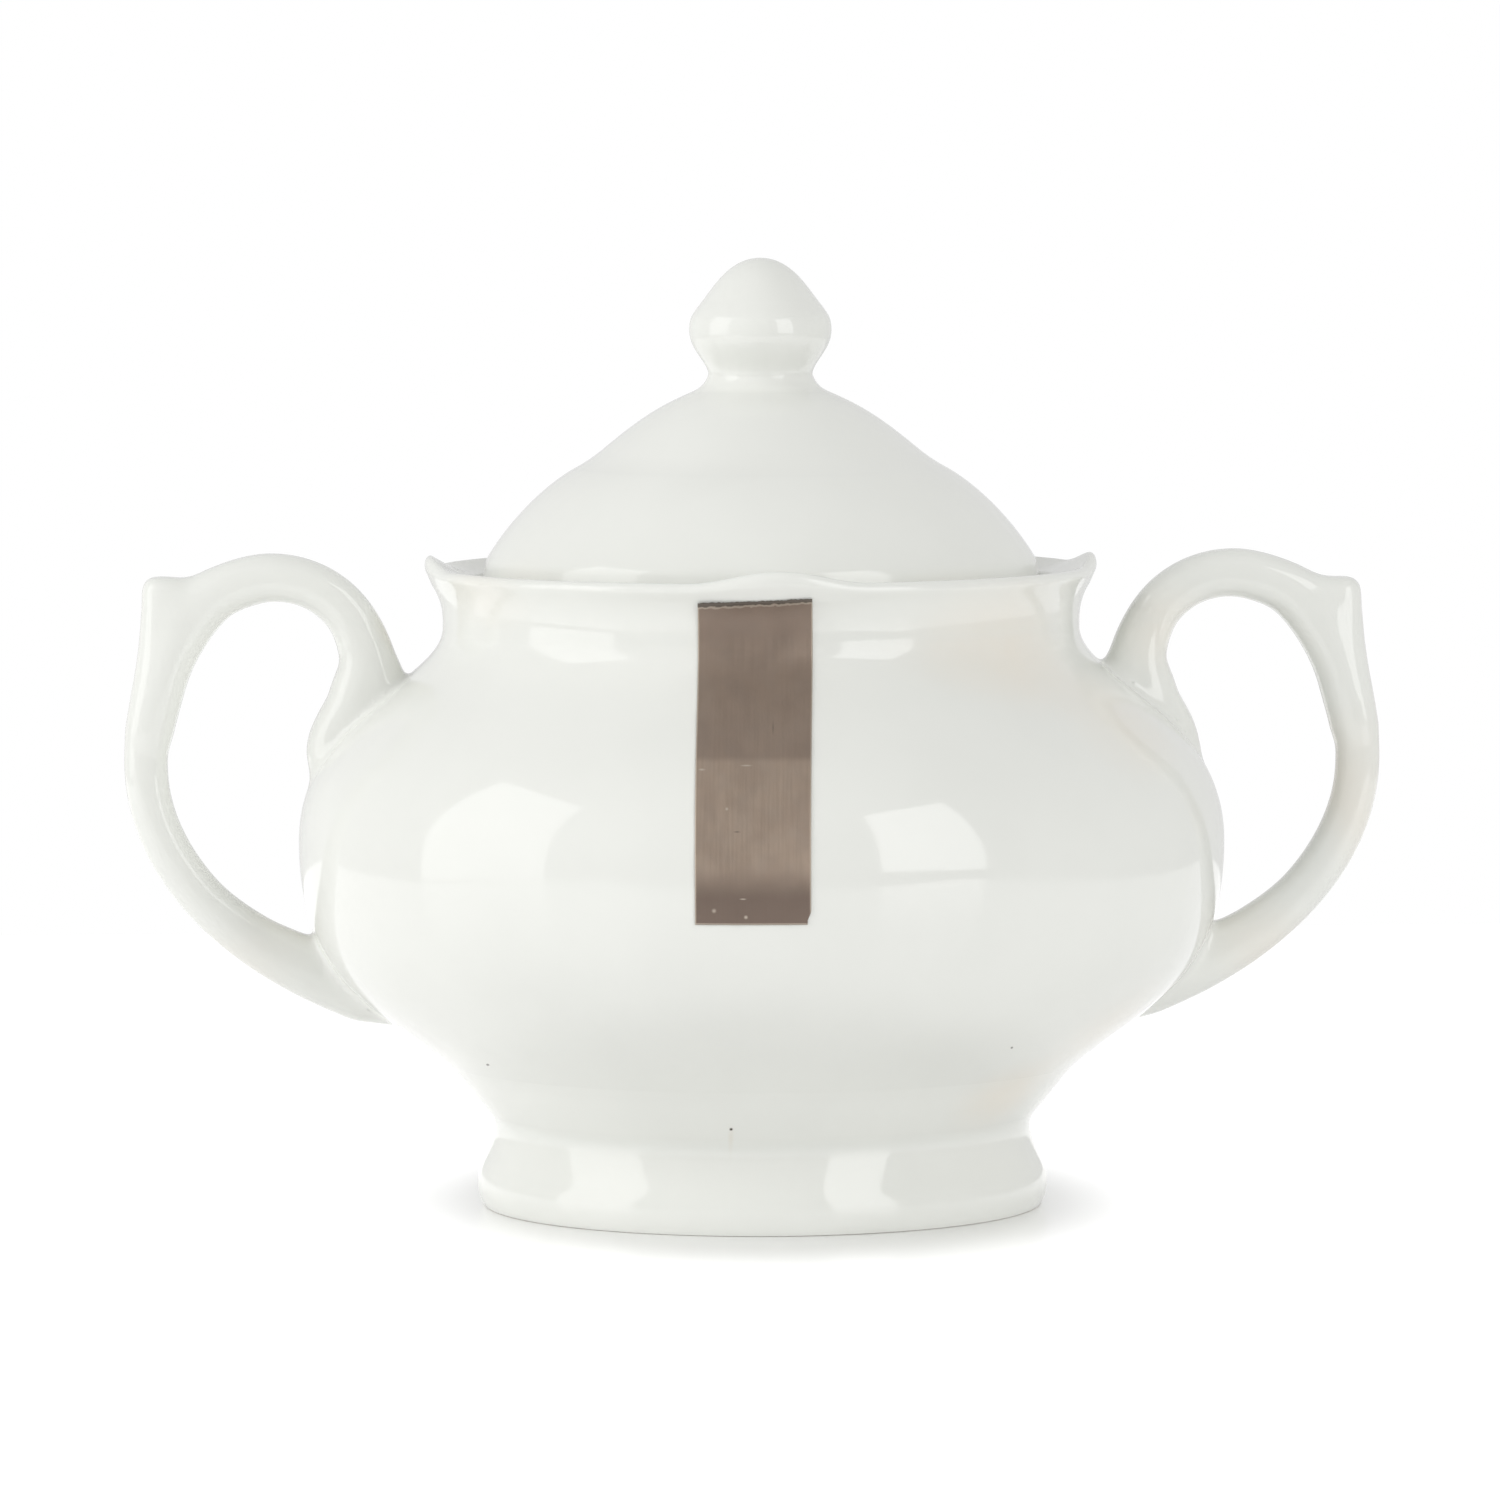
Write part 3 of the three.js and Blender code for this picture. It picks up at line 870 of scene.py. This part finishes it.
def mapped(tree, value, ends, levels):
    """A value mapped from between two ends to between two levels, with soft ends."""
    node = tree.nodes.new("ShaderNodeMapRange")
    node.interpolation_type = "SMOOTHSTEP"
    for name, number in zip(("From Min", "From Max", "To Min", "To Max"), (*ends, *levels)):
        node.inputs[name].default_value = number
    tree.links.new(value, node.inputs["Value"])
    return node.outputs["Result"]


def mixed(tree, share, first, second):
    node = tree.nodes.new("ShaderNodeMix")
    node.data_type = "RGBA"
    for socket, value in zip((node.inputs[0], node.inputs[6], node.inputs[7]), (share, first, second)):
        feed(tree, socket, value)
    return node.outputs[2]


def millimetres_on(tree):
    """Place on the piece in millimetres."""
    place = tree.nodes.new("ShaderNodeTexCoord").outputs["Object"]
    return vector_node(tree, "MULTIPLY", place, (1 / MM,) * 3)


def noise(tree, place, size, detail=2.0, stretch=(1, 1, 1)):
    """Soft noise with features of about a size in millimetres, longer where it is stretched."""
    node = tree.nodes.new("ShaderNodeTexNoise")
    node.inputs["Scale"].default_value = 1
    node.inputs["Detail"].default_value = detail
    scale = tuple(1 / (size * way) for way in stretch)
    tree.links.new(vector_node(tree, "MULTIPLY", place, scale), node.inputs["Vector"])
    return node.outputs["Fac"]


def spots(tree, place, listed):
    """One at the middle of each listed spot and zero past its edge, times the spot's strength."""
    total = 0.0
    for centre, size, strength in listed:
        way = vector_node(tree, "SUBTRACT", place, centre)
        shares = vector_node(tree, "DIVIDE", way, size)
        distance = vector_node(tree, "LENGTH", shares, output="Value")
        total = number_node(tree, "ADD", mapped(tree, distance, (0, 1), (strength, 0)), total)
    return total


def bumped(tree, shader, height, depth):
    """Relief of a depth in millimetres."""
    node = tree.nodes.new("ShaderNodeBump")
    node.inputs["Distance"].default_value = depth * MM
    tree.links.new(height, node.inputs["Height"])
    tree.links.new(node.outputs["Normal"], shader.inputs["Normal"])


def glaze_material():
    """White glaze: faintly uneven in tone, tinted warm in a few places, with three iron specks, one of
    which has run, and darkened by painted shade along two creases."""
    material, tree, shader = new_material("white_glaze")
    place = millimetres_on(tree)
    height = tree.nodes.new("ShaderNodeSeparateXYZ")
    tree.links.new(place, height.inputs["Vector"])
    clouds = noise(tree, place, 19, 3)
    tone = mapped(tree, clouds, (0.3, 0.7), (0, 1))
    colour = mixed(tree, tone, GLAZE_DEEP, GLAZE_PALE)
    cloudy = number_node(tree, "ADD", noise(tree, place, 7, 3), 0.5)
    warmth = number_node(tree, "MULTIPLY", spots(tree, place, WARM_PLACES), cloudy)
    colour = mixed(tree, number_node(tree, "MINIMUM", warmth, 1.0), colour, GLAZE_WARM)
    # Painted shade: bands of darker glaze along the foot's waist and under the collar
    for crease, reach, strength in SHADED_CREASES:
        away = number_node(tree, "ABSOLUTE", number_node(tree, "SUBTRACT", height.outputs["Z"], crease))
        colour = mixed(tree, mapped(tree, away, (0, reach), (strength, 0)), colour, GLAZE_SHADE_IN_CREASES)
    colour = mixed(tree, spots(tree, place, IRON_RUNS), colour, IRON_RUN)
    colour = mixed(tree, number_node(tree, "MINIMUM", spots(tree, place, IRON_SPECKS), 1.0), colour, IRON)
    feed(tree, shader.inputs["Base Color"], colour)
    polish = mapped(tree, noise(tree, place, 5, 4), (0.3, 0.7), (0.055, 0.085))
    feed(tree, shader.inputs["Roughness"], polish)
    shader.inputs["Specular IOR Level"].default_value = 0.56
    fine = number_node(tree, "MULTIPLY", cloudy, 0.12)
    ripple = number_node(tree, "ADD", noise(tree, place, 11, 1), fine)
    bumped(tree, shader, ripple, GLAZE_RIPPLE)
    return material


def bisque_material():
    """Bare fired clay: grainy, with a few darker grains."""
    material, tree, shader = new_material("bare_bisque")
    place = millimetres_on(tree)
    grain = noise(tree, place, 0.35, 4)
    tone = mapped(tree, noise(tree, place, 3), (0.3, 0.7), (0, 1))
    colour = mixed(tree, tone, BISQUE_PALE, BISQUE_DEEP)
    colour = mixed(tree, mapped(tree, grain, (0.62, 0.75), (0, 0.6)), colour, BISQUE_GRAIN)
    feed(tree, shader.inputs["Base Color"], colour)
    feed(tree, shader.inputs["Roughness"], mapped(tree, grain, (0.2, 0.8), (0.75, 0.95)))
    bumped(tree, shader, grain, 0.08)
    return material


def place_on_label(tree):
    """Place across the label, place up it, and both together as a place."""
    place = millimetres_on(tree)
    turn = math.radians(LABEL_TURN)
    ways = ((math.cos(turn), math.sin(turn), 0), (0, 0, 1))
    across, up = (vector_node(tree, "DOT_PRODUCT", place, way, output="Value") for way in ways)
    flat = tree.nodes.new("ShaderNodeCombineXYZ")
    tree.links.new(across, flat.inputs["X"])
    tree.links.new(up, flat.inputs["Z"])
    return across, up, flat.outputs["Vector"]


def with_label_edges(tree, colour, across, up, flat):
    """The foil's colour with its pale cut edges and its dark torn top."""
    top = rim_height - LABEL_TOP_GAP
    foot = top - LABEL_DROP
    half = LABEL_WIDTH / 2
    from_middle = number_node(tree, "ABSOLUTE", across)
    tilt = number_node(tree, "MULTIPLY", across, LABEL_TILT / half)
    level = number_node(tree, "SUBTRACT", up, tilt)
    tear = mapped(tree, noise(tree, flat, 0.9), (0.3, 0.7), (-0.1, 0.1))
    ragged = number_node(tree, "ADD", level, tear)
    for edge in (
        mapped(tree, from_middle, (half - 0.22, half - 0.08), (0, 0.6)),
        mapped(tree, up, (foot + 0.1, foot + 0.25), (0.6, 0)),
        mapped(tree, ragged, (top - 0.85, top - 0.7), (0, 0.5)),
    ):
        colour = mixed(tree, edge, colour, FOIL_CUT)
    return mixed(tree, mapped(tree, ragged, (top - 0.6, top - 0.45), (0, 0.9)), colour, FOIL_TORN)


def foil_material():
    """Satin foil: faintly brushed and worn in soft blotches, darkened by painted shade over its upper
    third and at its foot, with pale cut edges, a dark torn top and small scratches."""
    material, tree, shader = new_material("brushed_foil")
    across, up, flat = place_on_label(tree)
    brushed = noise(tree, flat, 0.3, 3, (1, 1, 30))
    worn = noise(tree, flat, 2.5, 3)
    blotches = noise(tree, flat, 4.5, 2)
    colour = mixed(tree, mapped(tree, brushed, (0.3, 0.7), (0.2, 0.8)), FOIL_DEEP, FOIL_PALE)
    colour = mixed(tree, mapped(tree, worn, (0.35, 0.75), (0, 0.35)), colour, FOIL_WORN)
    colour = mixed(tree, mapped(tree, blotches, (0.35, 0.7), (0, 0.2)), colour, FOIL_BLOTCH_AND_SHADE)
    top = rim_height - LABEL_TOP_GAP
    foot = top - LABEL_DROP
    # Painted shade: the foil darkened above FOIL_SHADE_HEIGHT, near its top and near its foot
    for ends, levels in (
        ((FOIL_SHADE_HEIGHT - 0.5, FOIL_SHADE_HEIGHT + 0.5), (0, 0.4)),
        ((top - 7, top - 3), (0, 0.35)),
        ((foot + 3, foot + 8), (0.95, 0)),
    ):
        colour = mixed(tree, mapped(tree, up, ends, levels), colour, FOIL_BLOTCH_AND_SHADE)
    colour = with_label_edges(tree, colour, across, up, flat)
    marks = number_node(tree, "MINIMUM", spots(tree, flat, FOIL_SCRATCHES), 1.0)
    colour = mixed(tree, marks, colour, FOIL_CUT)
    colour = mixed(tree, spots(tree, flat, FOIL_SCORES), colour, FOIL_TORN)
    feed(tree, shader.inputs["Base Color"], colour)
    feed(tree, shader.inputs["Roughness"], mapped(tree, brushed, (0.3, 0.7), (0.4, 0.52)))
    shader.inputs["Metallic"].default_value = 0.4
    bumped(tree, shader, brushed, 0.006)
    return material


# Studio

CAMERA_DISTANCE = 1200.0
CAMERA_HEIGHT = 149.5
CAMERA_TURN = -3.0
CAMERA_TILT = 4.27
CAMERA_ROLL = -0.15
CAMERA_ASIDE = 1.5
FOCAL_PIXELS = 9116.0
PHOTO_PIXELS = 1500.0
LAMP_DISTANCE = 1.0
LAMP_GAP = 0.002

# Where the floor's glow to the camera rises from none to full and hides the foot's shadow: distances
# in millimetres to the sides, and how much farther it reaches to the front
SHADOW_ENDS = (31, 57)
SHADOW_STRETCH = 1.45


def turned_about_z(x, y, degrees):
    angle = math.radians(degrees)
    return x * math.cos(angle) - y * math.sin(angle), x * math.sin(angle) + y * math.cos(angle)


def build_camera():
    """Camera at the photograph's place, looking slightly down."""
    data = bpy.data.cameras.new("camera")
    data.lens = data.sensor_width * FOCAL_PIXELS / PHOTO_PIXELS
    data.clip_start = 0.05
    data.clip_end = 50
    camera = bpy.data.objects.new("camera", data)
    bpy.context.scene.collection.objects.link(camera)
    x, y = turned_about_z(-CAMERA_ASIDE, -CAMERA_DISTANCE, CAMERA_TURN)
    camera.location = (x * MM, y * MM, CAMERA_HEIGHT * MM)
    aim = Matrix.Rotation(math.radians(CAMERA_TURN), 4, "Z")
    aim = aim @ Matrix.Rotation(math.radians(90 - CAMERA_TILT), 4, "X")
    aim = aim @ Matrix.Rotation(math.radians(CAMERA_ROLL), 4, "Z")
    camera.rotation_euler = aim.to_euler()
    bpy.context.scene.camera = camera


def softbox(name, facing, turns, heights, radiance, mirrored):
    """Upright rectangular lamp. Its plane stands LAMP_DISTANCE from the bowl, square to the turn
    that it faces, and it spans two turns from the camera's side, in degrees, and two heights. It is
    two lamps: one that lights, and a softer one just before it that shows as a highlight."""
    sides = [LAMP_DISTANCE * math.tan(math.radians(turn - facing)) for turn in turns]
    width = sides[1] - sides[0]
    height = heights[1] - heights[0]
    way = Vector((*turned_about_z(0, 1, CAMERA_TURN + facing), 0))
    for use, level, nearer in (("light", radiance, 0), ("highlight", mirrored, LAMP_GAP)):
        x, y = turned_about_z(sum(sides) / 2, nearer - LAMP_DISTANCE, CAMERA_TURN + facing)
        data = bpy.data.lights.new(f"{name}_{use}", "AREA")
        data.shape = "RECTANGLE"
        data.size = width
        data.size_y = height
        data.energy = level * math.pi * width * height
        lamp = bpy.data.objects.new(f"{name}_{use}", data)
        bpy.context.scene.collection.objects.link(lamp)
        lamp.location = (x, y, sum(heights) / 2)
        lamp.rotation_euler = way.to_track_quat("-Z", "Y").to_euler()
        lamp.visible_camera = False
        lamp.visible_diffuse = use == "light"
        lamp.visible_glossy = use == "highlight"


def seen_directly(tree):
    """One where a ray comes from the camera, a mirror reflection or a glass, and zero elsewhere."""
    path = tree.nodes.new("ShaderNodeLightPath").outputs
    either = number_node(tree, "MAXIMUM", path["Is Camera Ray"], path["Is Glossy Ray"])
    return number_node(tree, "MAXIMUM", either, path["Is Transmission Ray"])


def build_world(fill, room, backdrop):
    """White to the camera, and a softer fill on the object. Mirrored in a glaze, the backdrop behind
    the bowl is pale and the room at its sides and in front is darker."""
    world = bpy.data.worlds.new("studio")
    bpy.context.scene.world = world
    world.use_nodes = True
    tree = world.node_tree
    path = tree.nodes.new("ShaderNodeLightPath")
    way = tree.nodes.new("ShaderNodeTexCoord")
    parts = tree.nodes.new("ShaderNodeSeparateXYZ")
    tree.links.new(way.outputs["Generated"], parts.inputs["Vector"])
    mirrored = mapped(tree, parts.outputs["Y"], (-0.2, 0.9), (room, backdrop))
    level = fill
    for kind, seen in (("Glossy", mirrored), ("Transmission", 1.0), ("Camera", 1.0)):
        mix = tree.nodes.new("ShaderNodeMix")
        tree.links.new(path.outputs[f"Is {kind} Ray"], mix.inputs["Factor"])
        for socket, value in (("A", level), ("B", seen)):
            if isinstance(value, float):
                mix.inputs[socket].default_value = value
            else:
                tree.links.new(value, mix.inputs[socket])
        level = mix.outputs["Result"]
    background = tree.nodes["Background"]
    background.inputs["Color"].default_value = (1, 1, 1, 1)
    tree.links.new(level, background.inputs["Strength"])


def build_floor(size, bounce, glow):
    """White table that mirrors the bowl a little and keeps its shadow. It sends some light up, and
    shows as white to the camera but for the foot's shadow."""
    mesh = bpy.data.meshes.new("table")
    half = size / 2
    corners = [(-half, -half, 0), (half, -half, 0), (half, half, 0), (-half, half, 0)]
    mesh.from_pydata(corners, [], [(0, 1, 2, 3)])
    floor = bpy.data.objects.new("table", mesh)
    bpy.context.scene.collection.objects.link(floor)
    floor.location.z = -0.00005
    material, tree, shader = new_material("table_white")
    shader.inputs["Base Color"].default_value = (0.86, 0.86, 0.86, 1)
    shader.inputs["Roughness"].default_value = 0.1
    shader.inputs["Emission Color"].default_value = (1, 1, 1, 1)
    oval = vector_node(tree, "MULTIPLY", millimetres_on(tree), (1, 1 / SHADOW_STRETCH, 0))
    away = vector_node(tree, "LENGTH", oval, output="Value")
    levels = tree.nodes.new("ShaderNodeMix")
    feed(tree, levels.inputs["Factor"], seen_directly(tree))
    feed(tree, levels.inputs["A"], bounce)
    feed(tree, levels.inputs["B"], mapped(tree, away, SHADOW_ENDS, (0, glow)))
    feed(tree, shader.inputs["Emission Strength"], levels.outputs["Result"])
    mesh.materials.append(material)


build_camera()
glaze = glaze_material()
build_bowl(glaze)
build_foot(glaze, bisque_material())
build_lid(glaze)
build_knob(glaze)
build_handles(glaze)
build_label(foil_material())
build_floor(size=0.76, bounce=0.15, glow=0.5)
build_world(fill=0.61, room=0.34, backdrop=0.78)
softbox(
    "softbox_left", facing=-85, turns=(-90, -53.5), heights=(-0.075, 1.06), radiance=2.85, mirrored=1.45
)
softbox(
    "softbox_right", facing=60, turns=(28.5, 55), heights=(0.02, 0.98), radiance=2.85, mirrored=2.14
)
bpy.context.scene.view_settings.view_transform = "Standard"
